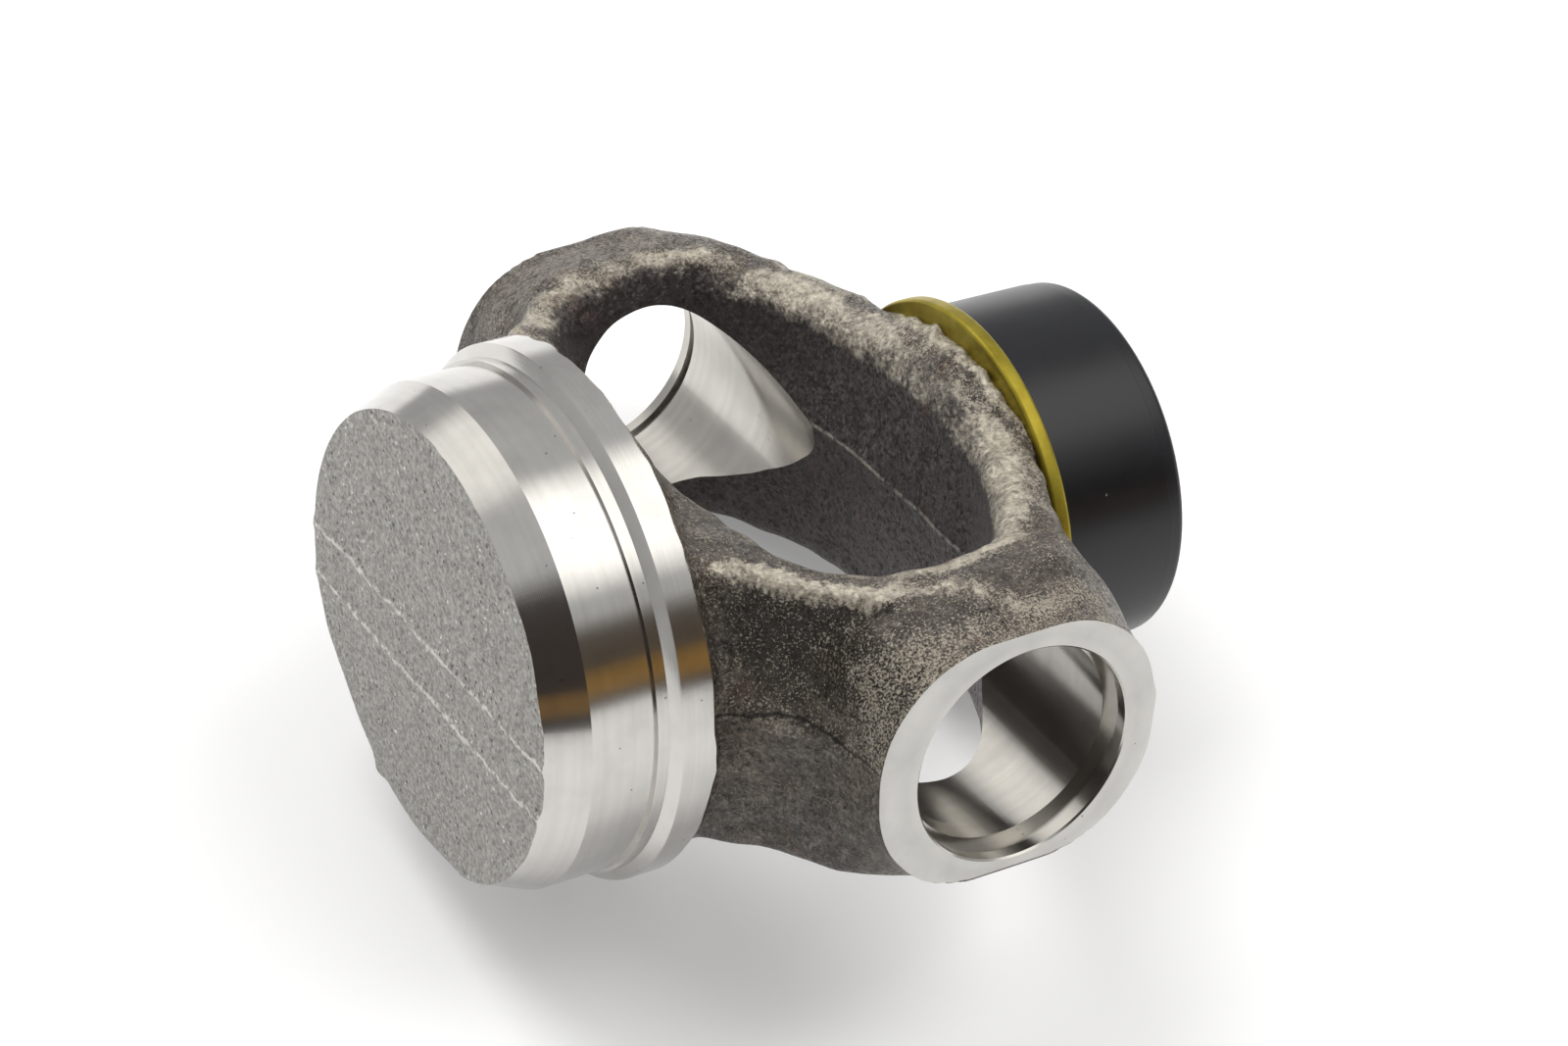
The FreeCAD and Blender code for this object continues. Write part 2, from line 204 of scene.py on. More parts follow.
def lumps(size, seed):
    """Smooth random bumps of about that size, from -1 to 1, over the whole grid."""
    rng = np.random.default_rng(seed)
    counts = [int((high - low) / size) + 3 for low, high in zip(LOW, HIGH)]
    values = rng.uniform(-1, 1, counts).astype(np.float32)
    for axis, line in enumerate((AX, AY, AZ)):
        place = (line - LOW[axis]) / size
        index = place.astype(int)
        t = place - index
        t = (t * t * (3 - 2 * t)).astype(np.float32)
        shape = [1, 1, 1]
        shape[axis] = len(line)
        t = t.reshape(shape)
        values = np.take(values, index, axis) * (1 - t) + np.take(values, index + 1, axis) * t
    return values


def layered(layers, start=0):
    """The start with layers of lumps added, each given by its height, size and seed."""
    return sum((height * lumps(size, seed) for height, size, seed in layers), start)


# Plan outlines of the loop, near side with negative Y, from the hub to the middle of the bridge.
NEAR_PARTING = [
    (14, -31), (22, -34.6), (24.6, -36.4), (26.4, -37.4), (30.2, -40), (33.6, -43.6), (35.7, -48.6),
    (36.2, -53), (36.2, -62), (75.4, -62), (75.4, -49), (75.6, -42.6), (77.2, -36), (79.4, -30.5),
    (81.4, -25.5), (82.2, -20), (82.4, -12),
]
NEAR_TOP = [
    (14, -22), (20, -26.5), (26.6, -30.6), (30.3, -33.7), (33.2, -36.5), (36.1, -39), (39, -41.6),
    (41.6, -44.8), (45.2, -46.2), (48.8, -47.6), (53, -49.4), (57.8, -54), (62.5, -54.4), (67, -50.8),
    (71.2, -44.8), (74.6, -37.5), (77.2, -31), (79.6, -25.5), (81.4, -19), (81.8, -12),
]
NEAR_LOWER = [
    (14, -30), (21, -33.4), (24.4, -36.6), (26.2, -38), (28, -39.5), (30.3, -41.5), (33.4, -44.8),
    (35.1, -49.4), (35.6, -62), (75.6, -62), (75.6, -49), (75.9, -42.6), (77.5, -36), (79.6, -30.5),
    (81.5, -25.5), (82.2, -20), (82.4, -12),
]
NEAR_BOTTOM = [
    (14, -29), (20, -31), (25.4, -33.6), (28.6, -35.9), (31, -38.3), (33.4, -42.1), (36.4, -46.8),
    (40.6, -50.2), (44.6, -52.3), (52, -54.5), (58, -55), (65, -53.6), (72, -47), (76.4, -39.5),
    (79.2, -33), (80.8, -26), (81.2, -12),
]
# Half outlines of the window, at the top face and at the parting.
WINDOW_TOP = [
    (34.2, 0), (34.3, 9), (34.6, 14), (35.3, 17), (35.6, 22), (36.7, 27.4), (38.9, 31.9), (42.1, 35.7),
    (46.2, 38.2), (51.2, 39.5), (57.6, 40.2), (61.6, 39.5), (65, 37.4), (67.9, 32.8), (70.8, 27.4),
    (72.9, 21.6), (74.3, 15.6), (75, 8), (75.1, 0),
]
WINDOW_PARTING = [
    (37.4, 0), (37.6, 13), (38.3, 20), (40, 27), (42.9, 32.6), (46.8, 36.6), (51, 38.8), (59.4, 39.2),
    (62.6, 38.4), (64.6, 35.4), (67.2, 31), (69.6, 26.2), (71.4, 20.6), (72.5, 14.6), (72.9, 8), (72.9, 0),
]
# Levels of the outlines, and how far past its last outline a draft goes on, as a share of its height.
PARTING = 3.5
TOP_LEVEL = 19.6
BOTTOM_LEVEL = -20.0
WINDOW_TOP_LEVEL = 20.0
WINDOW_BOTTOM_LEVEL = -20.5
TOP_OVERRUN = 1.15
BOTTOM_OVERRUN = 1.1
WINDOW_OVERRUN = 1.6
# How the raw forging sits off the machined axes: the far side's growth, its bridge, and the dies' shift.
FAR_GROWTH = 1.8
FAR_TOP_GROWTH = 0.6
FAR_BACK = 1.7
FAR_BACK_FROM = 70
BACK_LIMIT = BRIDGE_BACK + 0.4
DIE_SHIFT = 1.1
# The raw lumps stay above the ground and within the solid model's half width across.
REST_MARGIN = 0.12
HALF_WIDTH = 60.02
# How far soften() reaches, in grid steps.
FINE = 1
BROAD = 2

# Layers of random lumps: height, size and seed of each.
PARTING_LUMPS = [(0.5, 7, 11), (0.3, 2.6, 12)]
FACE_LUMPS = [(-0.25, 7, 22), (-0.1, 2.4, 23)]
RUB_AND_HIGHLIGHT_LUMPS = [(0.3, 4, 31), (0.35, 1.9, 32)]
SKIN_LUMPS = [(0.3, 9, 1), (0.16, 4.2, 2), (0.09, 2.2, 3)]
RIDGE_LUMPS = [(0.34, 3.0, 4), (0.22, 1.8, 5)]

# The lap line under the near arm's ridge, a row of pits in the raw skin.
LAP_LINE = [(40.6, -43.4, 18.2), (43, -45.6, 18), (46, -46.9, 17.9), (49.5, -48.2, 17.7), (53, -49.6, 17.6)]
# The raw end face: its outline where it wasn't cleaned up, and the two flash lines across it.
END_RADIUS = 33.2
DENT_DEPTH = 2.9
FACE_LINES = [((30, 1.7), (-30.5, 0.2)), ((30, -6.0), (-29, -8.2))]
# How far above the parting the window's trimmed flash lies.
TRIM_RISE = 0.3


def both_sides(near, growth):
    """A closed outline from its near half and the mirror image of it, moved out a little."""
    far = [(min(x + FAR_BACK * (x > FAR_BACK_FROM), BACK_LIMIT), -y + growth) for x, y in reversed(near)]
    return near + far


def window_outline(half, grow, shift, corner=0.0):
    """The whole window from its half outline, with the near corner by the bridge squarer."""
    corner_x, corner_y = 64, 18
    squared = [(x + corner * (x > corner_x and y > corner_y), y) for x, y in half]
    near = [(x, -(y + grow) + shift if y else shift) for x, y in squared]
    far = [(x, y + grow + shift) for x, y in reversed(half)]
    return near + far


def line_distance(points):
    """Distance over the grid from a broken line in space."""
    nearest = np.full((len(AX), len(AY), len(AZ)), np.inf, dtype=np.float32)
    for (x0, y0, z0), (x1, y1, z1) in zip(points, points[1:]):
        dx, dy, dz = x1 - x0, y1 - y0, z1 - z0
        t = ((X - x0) * dx + (Y - y0) * dy + (Z - z0) * dz) / (dx * dx + dy * dy + dz * dz)
        t = np.clip(t, 0, 1)
        reach = np.sqrt((X - x0 - t * dx) ** 2 + (Y - y0 - t * dy) ** 2 + (Z - z0 - t * dz) ** 2)
        nearest = np.minimum(nearest, reach)
    return nearest


def loop_sides(seam):
    """The loop's drafted sides: hollow flanks where the seam mask is 1, plainer ones where it is 0."""
    upper = plan_field(both_sides(NEAR_PARTING, FAR_GROWTH), FINE)
    top = plan_field(both_sides(NEAR_TOP, FAR_GROWTH + FAR_TOP_GROWTH), BROAD)
    lower = plan_field(both_sides(NEAR_LOWER, FAR_GROWTH - DIE_SHIFT), FINE)
    bottom = plan_field(both_sides(NEAR_BOTTOM, FAR_GROWTH - 2 * DIE_SHIFT), BROAD)
    rise = np.clip((Z - PARTING) / (TOP_LEVEL - PARTING), 0, TOP_OVERRUN)
    hollow_power, lean, lean_from = 2.2, 0.12, 0.45
    hollow = 1 - (1 - np.clip(rise, 0, 1)) ** hollow_power
    waist_middle = 34
    waist = until(np.abs(X - waist_middle), 14, 32)
    blend = (hollow + lean * np.clip(rise - lean_from, 0, 1)) * waist + rise * (1 - waist)
    above = lerp(upper, top, blend)
    fall = np.clip((PARTING - Z) / (PARTING - BOTTOM_LEVEL), 0, BOTTOM_OVERRUN)
    land_height = 0.35
    land = until(PARTING - Z, 3.6, 5.0)
    below = lerp(lower, bottom, fall) - land_height * land * step01(X, 25, 29)
    return above * seam + below * (1 - seam)


def top_level():
    """Height of the loop's top face: crowned on the bridge, lower at the ears, raised at the hub."""
    plain, crown, crown_middle, crown_width, ear_drop = 20.3, 1.6, 1, 19, 1.7
    hub_rise, hump_height = 0.9, 0.5
    bridge = step01(X, 58, 76)
    at_ears = step01(np.abs(Y), 43, 53)
    hub = until(X, 30, 38)
    hump = step01(-Y, 10.5, 12.5) * until(X, 34, 42)
    face = plain + crown * bell(Y - crown_middle, crown_width) * bridge - ear_drop * at_ears
    return face + hub_rise * hub + hump_height * hump


def behind_collar():
    """The cone that keeps the loop off the turned faces, behind the collar."""
    start, radius, far_cut, slope, steep = 25, 36.5, 0.7, 1.5, 0.6
    return (np.hypot(Y, Z) - radius + far_cut * step01(Y, -5, 5) - slope * (X - start)) * steep


def loop_field():
    """The slab of the loop: hub, arms and bridge, between its drafted sides and its two flats.

    Returned with it are the marks that its skin takes: the near ridge's band, rubbed bright as partly real
    wear and partly painted highlight, the flank's painted shade, and height over the seam.
    """
    parting = layered(PARTING_LUMPS, PARTING)
    seam_half = 0.35
    sides = loop_sides(step01(Z - parting, -seam_half, seam_half))
    top_face = top_level()
    bottom_depth, bottom_drop = 20.3, 2.6
    bottom_face = bottom_depth - bottom_drop * step01(np.abs(Y), 44, 56)
    near = step01(-Y, 18, 30) * step01(X, 22, 30) * until(X, 66, 74)
    top_edge, near_sharper, bottom_edge, collar_edge = 3.6, 2.4, 4.0, 1.6
    slab = meet(sides, Z - top_face, top_edge - near_sharper * near)
    slab = meet(slab, -Z - bottom_face, bottom_edge)
    slab = meet(slab, behind_collar(), collar_edge)
    # A band along the near ridge, rubbed bright: partly real wear, partly painted highlight.
    wear_and_highlight_middle = 1.4
    wear_and_highlight = until(np.abs(sides + wear_and_highlight_middle), 0.7, 2.2) * step01(Z, 15.5, 18.5)
    wear_and_highlight = wear_and_highlight * (near * until(X, 57, 64))
    flank = step01(-Y, 24, 32) * step01(X, 26, 30) * until(X, 48, 60)
    # Painted shade: the near flank under the ridge, darkened in the skin's colour.
    shade = flank * step01(Z, 2, 12) * until(Z - top_face, -3.0, -1.0)
    return slab, {"wear_and_highlight": wear_and_highlight, "shade": shade, "seam": Z - parting}


def rounded_box(dx, dz, half_x, half_z, corner):
    qx, qz = np.abs(dx) - half_x + corner, np.abs(dz) - half_z + corner
    return np.minimum(np.maximum(qx, qz), 0) + np.hypot(np.maximum(qx, 0), np.maximum(qz, 0)) - corner


def ear_field():
    """Both ears: rounder and lower towards their faces, with the flash standing out at the parting."""
    out = step01(np.abs(Y), 46, 57.5)
    half_length = 20.7 + 0.15 * out
    half_height = 20.5 - 2.1 * out
    corner = 12 + 4.4 * out
    setback, lift = 0.8, 0.45
    ear = rounded_box(X - EAR_AXIS + setback, Z - lift, half_length, half_height, corner)
    flash_height, flash_level, flash_width = 0.25, 2.0, 2.6
    ear = ear - flash_height * bell(Z - flash_level, flash_width)
    inner_end, inner_blend = 40.5, 3
    return meet(ear, inner_end - np.abs(Y), inner_blend)


def stub_field():
    """The raw stub under the turned faces, its rough end, and the hub's round back behind the collar."""
    radius = np.hypot(Y, Z)
    angle = np.degrees(np.arctan2(Z, Y))
    dent = step01(angle, -126, -92) * until(angle, -42, -14)
    burr_height, burr_angle, burr_width, burr_depth = 2.6, -63, 2.6, 1.8
    burr = np.exp(-(((angle - burr_angle) / burr_width) ** 2) - (X / burr_depth) ** 2)
    rim_lumps = 0.35 * lumps(size=6, seed=21)
    end = END_RADIUS - DENT_DEPTH * dent + burr_height * burr + rim_lumps
    raw_radius, end_taper, end_steep = 37.7, 1.3, 0.8
    raw = np.minimum(raw_radius, end + end_taper * X)
    back_start, back_slope, back_steep = 22.9, 1.66, 0.52
    cone = COLLAR_RADIUS - back_slope * (X - back_start)
    wall = np.maximum((radius - raw) * end_steep, (radius - cone) * back_steep)
    face_depth, line_height, line_width, end_blend = 0.45, 0.35, 0.8, 0.8
    relief = layered(FACE_LUMPS, face_depth)
    for (y0, z0), (y1, z1) in FACE_LINES:
        long = math.hypot(y1 - y0, z1 - z0)
        off = np.abs((Y - y0) * (z1 - z0) - (Z - z0) * (y1 - y0)) / long + 0.35 * lumps(size=3, seed=24)
        relief = relief - line_height * bell(off, line_width)
    body = meet(wall, relief - X, end_blend)
    hub_end, hub_blend = 36.5, 2
    return meet(body, X - hub_end, hub_blend)


def boss_field():
    """The round boss on the bridge's back, a cone that widens towards the ring."""
    centre, radius, slope, start, steep = -0.9, 21.4, 0.47, 72.8, 0.9
    cone = radius + slope * (X - start)
    back_blend, inner_end = 1.6, 70
    boss = meet((np.hypot(Y - centre, Z) - cone) * steep, X - BRIDGE_BACK, back_blend)
    return np.maximum(boss, inner_end - X)


def window_field():
    """The window through the loop, drafted both ways from the parting, with a little flash left in it."""
    top = plan_field(window_outline(WINDOW_TOP, grow=0.5, shift=1.9), FINE)
    parting = plan_field(window_outline(WINDOW_PARTING, grow=0.0, shift=1.3, corner=1.4), FINE)
    bottom = [(x, y - DIE_SHIFT) for x, y in window_outline(WINDOW_TOP, grow=0.4, shift=1.5)]
    bottom = plan_field(bottom, FINE)
    rise = np.clip((Z - PARTING) / (WINDOW_TOP_LEVEL - PARTING), 0, WINDOW_OVERRUN)
    fall = np.clip((PARTING - Z) / (PARTING - WINDOW_BOTTOM_LEVEL), 0, WINDOW_OVERRUN)
    above = lerp(parting, top, rise)
    below = lerp(parting, bottom, fall)
    flash_height, flash_width = 0.3, 0.6
    return np.where(Z > PARTING, above, below) + flash_height * bell(Z - PARTING - TRIM_RISE, flash_width)


def curvature(field):
    """How sharply the field's surface is rounded outwards, from the field's second differences."""
    total = -6 * field[1:-1, 1:-1, 1:-1]
    total += field[2:, 1:-1, 1:-1] + field[:-2, 1:-1, 1:-1]
    total += field[1:-1, 2:, 1:-1] + field[1:-1, :-2, 1:-1]
    total += field[1:-1, 1:-1, 2:] + field[1:-1, 1:-1, :-2]
    bend = np.zeros_like(field)
    bend[1:-1, 1:-1, 1:-1] = total / PITCH**2
    flat, gain = 0.12, 4.0
    return (soften(bend, FINE) - flat) * gain


def rub_and_highlight_marks(body, window, wear_and_highlight):
    """How far the raw edges are rubbed bright, 0 to 1.2, partly real wear and partly painted highlight, and
    how much painted glint the ear's root and crest take, 0 to 1.
    """
    tilt, rim_depth, rim_level, most = 0.25, 1.2, 20.0, 1.2
    bridge_rim = step01(X - tilt * Y, 42, 66)
    off_rim = np.hypot(window - rim_depth - 0.6 * bridge_rim, Z - rim_level)
    rim = until(off_rim, 0.7 + bridge_rim, 2.2 + 2.2 * bridge_rim)
    # The ear's root and crest take painted glints and some painted highlight.
    root = step01(-Y, 44, 53) * step01(Z, -2, 6) * until(Z, 14, 19) * until(X, 48, 60)
    crest = step01(-Y, 49, 54) * step01(Z, 13, 17)
    from_bends = 0.8 * curvature(soften(body, FINE))
    from_wear_and_highlight = 0.75 * wear_and_highlight
    from_rim = (0.38 + 0.34 * bridge_rim) * rim
    patches = layered(RUB_AND_HIGHLIGHT_LUMPS) * (1 - 0.7 * root)
    upper = 0.25 + 0.75 * step01(Z, 4, 9)
    ridge = (from_bends + from_wear_and_highlight + from_rim + patches) * upper + 0.12 * root + 0.25 * crest
    shine = root + 0.8 * crest + 0.15 * lumps(size=5, seed=33)
    return np.clip(ridge, 0, most), np.clip(shine, 0, 1)


def lap_pits():
    """Depth of the row of pits under the near arm's ridge."""
    depth, uneven, width, deepest = 1.15, 0.9, 1.5, 2
    pits = (depth + uneven * lumps(size=2.1, seed=7)) * bell(line_distance(LAP_LINE), width)
    return np.clip(pits, 0, deepest)


def raw_field():
    """The raw forging over the grid, and the marks that its skin takes."""
    part_blend, window_blend = 3, 4.2
    body, marks = loop_field()
    body = join(body, ear_field(), part_blend)
    body = join(body, boss_field(), part_blend)
    body = join(body, stub_field(), part_blend)
    window = window_field()
    body = meet(body, -window, window_blend)
    ridge, shine = rub_and_highlight_marks(body, window, marks.pop("wear_and_highlight"))
    rough = layered(SKIN_LUMPS)
    rough += ridge * layered(RIDGE_LUMPS)
    on_face = until(X, 0.5, 2.5)
    in_window = until(np.abs(window), 0.5, 3)
    at_ears = step01(np.abs(Y), 48, 55)
    body = body + rough * (1 - 0.85 * on_face) * (1 - 0.6 * in_window * (1 - ridge)) * (1 - 0.5 * at_ears)
    body = body + lap_pits()
    height = REST[2][0] * X + REST[2][1] * Y + REST[2][2] * Z + BASE[2] / MM
    across = REST[1][0] * X + REST[1][1] * Y + REST[1][2] * Z
    body = np.maximum(body, np.maximum(REST_MARGIN - height, np.abs(across) - HALF_WIDTH))
    spigot_start = BRIDGE_BACK - 2
    spigot = np.maximum(np.hypot(Y, Z) - SPIGOT_RADIUS, np.maximum(X - SPIGOT_END, spigot_start - X))
    body = np.minimum(body, spigot)
    border = PITCH * np.ones_like(body)
    border[1:-1, 1:-1, 1:-1] = -PITCH
    marks.update(ridge=ridge, shine=shine, window=window)
    return np.maximum(body, border), marks


def net_points(field, cells):
    """A point in each cell, the middle of where the surface crosses the cell's edges."""
    total = np.zeros((len(cells), 3))
    hits = np.zeros(len(cells))
    for axis in range(3):
        others = [n for n in range(3) if n != axis]
        for a, b in np.ndindex(2, 2):
            start = cells.copy()
            start[:, others[0]] += a
            start[:, others[1]] += b
            end = start.copy()
            end[:, axis] += 1
            f0, f1 = field[tuple(start.T)], field[tuple(end.T)]
            cross = (f0 < 0) != (f1 < 0)
            t = np.where(cross, f0 / np.where(cross, f0 - f1, 1), 0)
            place = start.astype(float)
            place[:, axis] += t
            total[cross] += place[cross]
            hits[cross] += 1
    return LOW + PITCH * total / hits[:, None]


def net_quads(inside, number):
    """A quad across each grid edge that the surface crosses, from the numbers of the four cells round it."""
    quads = []
    for axis in range(3):
        b, c = (axis + 1) % 3, (axis + 2) % 3
        first = [slice(None)] * 3
        second = [slice(None)] * 3
        first[axis], second[axis] = slice(0, -1), slice(1, None)
        edges = np.argwhere(inside[tuple(first)] != inside[tuple(second)])
        limits = np.array(number.shape)
        ok = (edges[:, b] > 0) & (edges[:, c] > 0) & (edges[:, b] < limits[b]) & (edges[:, c] < limits[c])
        edges = edges[ok]
        around = []
        for db, dc in ((-1, -1), (0, -1), (0, 0), (-1, 0)):
            cell = edges.copy()
            cell[:, b] += db
            cell[:, c] += dc
            around.append(number[tuple(cell.T)])
        quad = np.stack(around, 1)
        starts_inside = inside[tuple(edges.T)]
        quad[~starts_inside] = quad[~starts_inside][:, ::-1]
        quads.append(quad)
    return np.concatenate(quads)


def net_mesh(field):
    """Closed quad mesh of a field's zero surface, one vertex in each cell that the surface passes through."""
    cell_corners = 8
    inside = field < 0
    shape = [count - 1 for count in inside.shape]
    corners = np.zeros(shape, dtype=np.int8)
    for i, j, k in np.ndindex(2, 2, 2):
        corners += inside[i : i + shape[0], j : j + shape[1], k : k + shape[2]]
    mixed = (corners > 0) & (corners < cell_corners)
    cells = np.argwhere(mixed)
    number = np.full(mixed.shape, -1, dtype=np.int64)
    number[mixed] = np.arange(len(cells))
    return net_points(field, cells), net_quads(inside, number)


def linked(name, data):
    made = bpy.data.objects.new(name, data)
    bpy.context.scene.collection.objects.link(made)
    return made


def mesh_object(name, points, faces):
    """An object on the yoke's own axes, from points in millimetres; settle() lays it down."""
    mesh = bpy.data.meshes.new(name)
    mesh.from_pydata((np.asarray(points) * MM).tolist(), [], [list(face) for face in faces])
    mesh.update()
    return linked(name, mesh)


def settle(piece):
    """Lay a finished piece down in the shared frame."""
    piece.data.transform(REST)
    piece.data.update()


def outward(piece):
    """Turn a closed mesh's faces outwards."""
    work = bmesh.new()
    work.from_mesh(piece.data)
    bmesh.ops.recalc_face_normals(work, faces=work.faces)
    work.to_mesh(piece.data)
    work.free()
    return piece


def lathe(name, profile, segments, axis="X", centre=0.0):
    """A closed ring or solid turned about X, or Y at centre, from pairs of place along it and radius."""
    on_axis = 1e-6
    points, faces, rows = [], [], []
    for along, radius in profile:
        if radius < on_axis:
            rows.append([len(points)] * segments)
            points.append((along, 0.0, 0.0))
            continue
        rows.append(list(range(len(points), len(points) + segments)))
        for n in range(segments):
            angle = 2 * math.pi * n / segments
            points.append((along, radius * math.cos(angle), radius * math.sin(angle)))
    for row, following in zip(rows, rows[1:] + rows[:1]):
        for n in range(segments):
            m = (n + 1) % segments
            face = list(dict.fromkeys((row[n], following[n], following[m], row[m])))
            if len(face) > 2:
                faces.append(face)
    points = np.array(points)
    if axis == "Y":
        points = np.stack((points[:, 2] + centre, points[:, 0], points[:, 1]), 1)
    return outward(mesh_object(name, points, faces))


def set_material(piece, material):
    piece.data.materials.clear()
    piece.data.materials.append(material)


def cut(piece, tool, material):
    """Cut the piece with a closed tool; the cut faces take the given material."""
    set_material(tool, material)
    change = piece.modifiers.new(tool.name, "BOOLEAN")
    change.operation = "DIFFERENCE"
    change.solver = "EXACT"
    change.material_mode = "TRANSFER"
    change.object = tool
    graph = bpy.context.evaluated_depsgraph_get()
    shown = piece.evaluated_get(graph)
    result = bpy.data.meshes.new_from_object(shown, preserve_all_data_layers=True, depsgraph=graph)
    piece.modifiers.remove(change)
    old = piece.data
    piece.data = result
    bpy.data.meshes.remove(old)
    bpy.data.objects.remove(tool)


# Materials. Sizes are in millimetres, colours are linear.


class Nodes:
    """A node tree, built by short calls; a surface's tree keeps its material and shader at hand."""

    def __init__(self, tree):
        self.tree = tree

    @classmethod
    def surface(cls, name):
        material = bpy.data.materials.new(name)
        material.use_nodes = True
        made = cls(material.node_tree)
        made.material = material
        made.shader = made.tree.nodes["Principled BSDF"]
        return made

    def node(self, kind, settings=None, **links):
        """A new node; _0=value and the like go into its inputs by number."""
        made = self.tree.nodes.new(kind)
        for key, value in (settings or {}).items():
            setattr(made, key, value)
        for key, value in links.items():
            self.put(made.inputs[int(key[1:])], value)
        return made

    def put(self, socket, value):
        if isinstance(value, bpy.types.NodeSocket):
            self.tree.links.new(value, socket)
        else:
            socket.default_value = value

    def math(self, operation, a, b=0.0):
        return self.node("ShaderNodeMath", {"operation": operation}, _0=a, _1=b).outputs[0]

    def plus(self, a, b):
        return self.math("ADD", a, b)

    def minus(self, a, b):
        return self.math("SUBTRACT", a, b)

    def times(self, a, b):
        return self.math("MULTIPLY", a, b)

    def inverse(self, value):
        """One less the value."""
        return self.minus(1.0, value)

    def vector(self, operation, a, b=(0, 0, 0)):
        return self.node("ShaderNodeVectorMath", {"operation": operation}, _0=a, _1=b).outputs[0]

    def place(self):
        """Place on the yoke's axes, in millimetres."""
        back = REST.inverted()
        made = self.node("ShaderNodeMapping", None, _0=self.node("ShaderNodeTexCoord").outputs["Object"])
        made.inputs["Location"].default_value = back.translation / MM
        made.inputs["Rotation"].default_value = back.to_euler()
        made.inputs["Scale"].default_value = (1 / MM, 1 / MM, 1 / MM)
        return made.outputs[0]

    def split(self, vector):
        return self.node("ShaderNodeSeparateXYZ", None, _0=vector).outputs

    def combine(self, x, y, z):
        return self.node("ShaderNodeCombineXYZ", None, _0=x, _1=y, _2=z).outputs[0]

    def attribute(self, name):
        return self.node("ShaderNodeAttribute", {"attribute_name": name}).outputs["Fac"]

    def noise(self, vector, size, detail=3, rough=0.6):
        """Noise with features of about that size in millimetres."""
        return self.node("ShaderNodeTexNoise", None, _0=vector, _2=1 / size, _3=detail, _4=rough).outputs[0]

    def swing(self, vector, size, reach, **look):
        """Noise about zero, its whole range that many times as wide."""
        return self.times(self.minus(self.noise(vector, size, **look), 0.5), reach)

    def cells(self, vector, size, output="Distance"):
        """Scattered cells of about that size: distance from their middles, or a random colour for each."""
        return self.node("ShaderNodeTexVoronoi", None, _0=vector, _2=1 / size).outputs[output]

    def ramp(self, value, *stops):
        """Colour ramp; a stop is its place and a colour, or one number for a grey."""
        made = self.node("ShaderNodeValToRGB", None, _0=value)
        elements = made.color_ramp.elements
        for _ in range(len(stops) - 2):
            elements.new(0.5)
        for element, (at, colour) in zip(elements, stops):
            element.position = at
            element.color = (*colour, 1) if isinstance(colour, tuple) else (colour, colour, colour, 1)
        return made.outputs[0]

    def mix(self, factor, a, b, blend="MIX"):
        made = self.node("ShaderNodeMix", {"data_type": "RGBA", "blend_type": blend})
        self.put(made.inputs[0], factor)
        self.put(made.inputs[6], (*a, 1) if isinstance(a, tuple) else a)
        self.put(made.inputs[7], (*b, 1) if isinstance(b, tuple) else b)
        return made.outputs[2]

    def lay(self, base, colour, mask, share):
        """The base with a colour laid over it where the mask shows, up to that share."""
        return self.mix(self.times(mask, share), base, colour)

    def fade(self, value, low, high):
        """0 below low, 1 above high, smooth between."""
        smooth = {"interpolation_type": "SMOOTHSTEP"}
        return self.node("ShaderNodeMapRange", smooth, _0=value, _1=low, _2=high).outputs[0]

    def bump(self, height, distance, strength, before=None):
        made = self.node("ShaderNodeBump")
        self.put(made.inputs["Height"], height)
        made.inputs["Distance"].default_value = distance * MM
        made.inputs["Strength"].default_value = strength
        if before is not None:
            self.put(made.inputs["Normal"], before)
        return made.outputs[0]

    def facets(self, spot, size, tilt, before):
        """Tilt the normal at random in small cells, as the crystals of a blasted surface do."""
        turn = self.vector("SUBTRACT", self.cells(spot, size, "Color"), (0.5, 0.5, 0.5))
        turn = self.vector("MULTIPLY", turn, (tilt, tilt, tilt))
        return self.vector("NORMALIZE", self.vector("ADD", before, turn))

    def finish(self, **values):
        """The material, with its shader's inputs set by their names."""
        for key, value in values.items():
            self.put(self.shader.inputs[key.replace("_", " ")], value)
        return self.material


# Colours of the forging's raw skin, and of its end face; some of them are painted shade, painted shadow,
# painted glints and painted highlight, as noted.
SKIN_DARK = (0.034, 0.028, 0.024)
SKIN_PLAIN = (0.085, 0.074, 0.064)
SKIN_LIGHT = (0.168, 0.149, 0.128)
COOL_TINT = (0.88, 0.9, 0.95)
WARM_TINT = (1.1, 1.02, 0.94)
# Painted shade, laid on the near flank under the ridge.
PAINTED_SHADE = (0.022, 0.018, 0.015)
# Painted glints: specks of highlight in the skin's colour.
PAINTED_GLINT_COLOUR = (0.42, 0.375, 0.3)
# Painted shade for the window's inner walls.
SHADED_WALL_DARK = (0.036, 0.031, 0.031)
SHADED_WALL_PALE = (0.086, 0.071, 0.07)
# Rubbed ridges: partly real wear, partly painted highlight.
WORN_AND_HIGHLIGHT = (0.55, 0.5, 0.41)
TRIM = (0.5, 0.46, 0.4)
# Painted shadow along the seam's ledge.
SEAM_SHADOW = (0.012, 0.01, 0.009)
RUST = (0.16, 0.085, 0.055)
FACE_DARK = (0.17, 0.163, 0.152)
FACE_PLAIN = (0.35, 0.34, 0.32)
FACE_LIGHT = (0.56, 0.545, 0.51)
FACE_LINE = (0.78, 0.76, 0.72)
FLECK = (0.72, 0.71, 0.68)
PIT = (0.06, 0.056, 0.052)


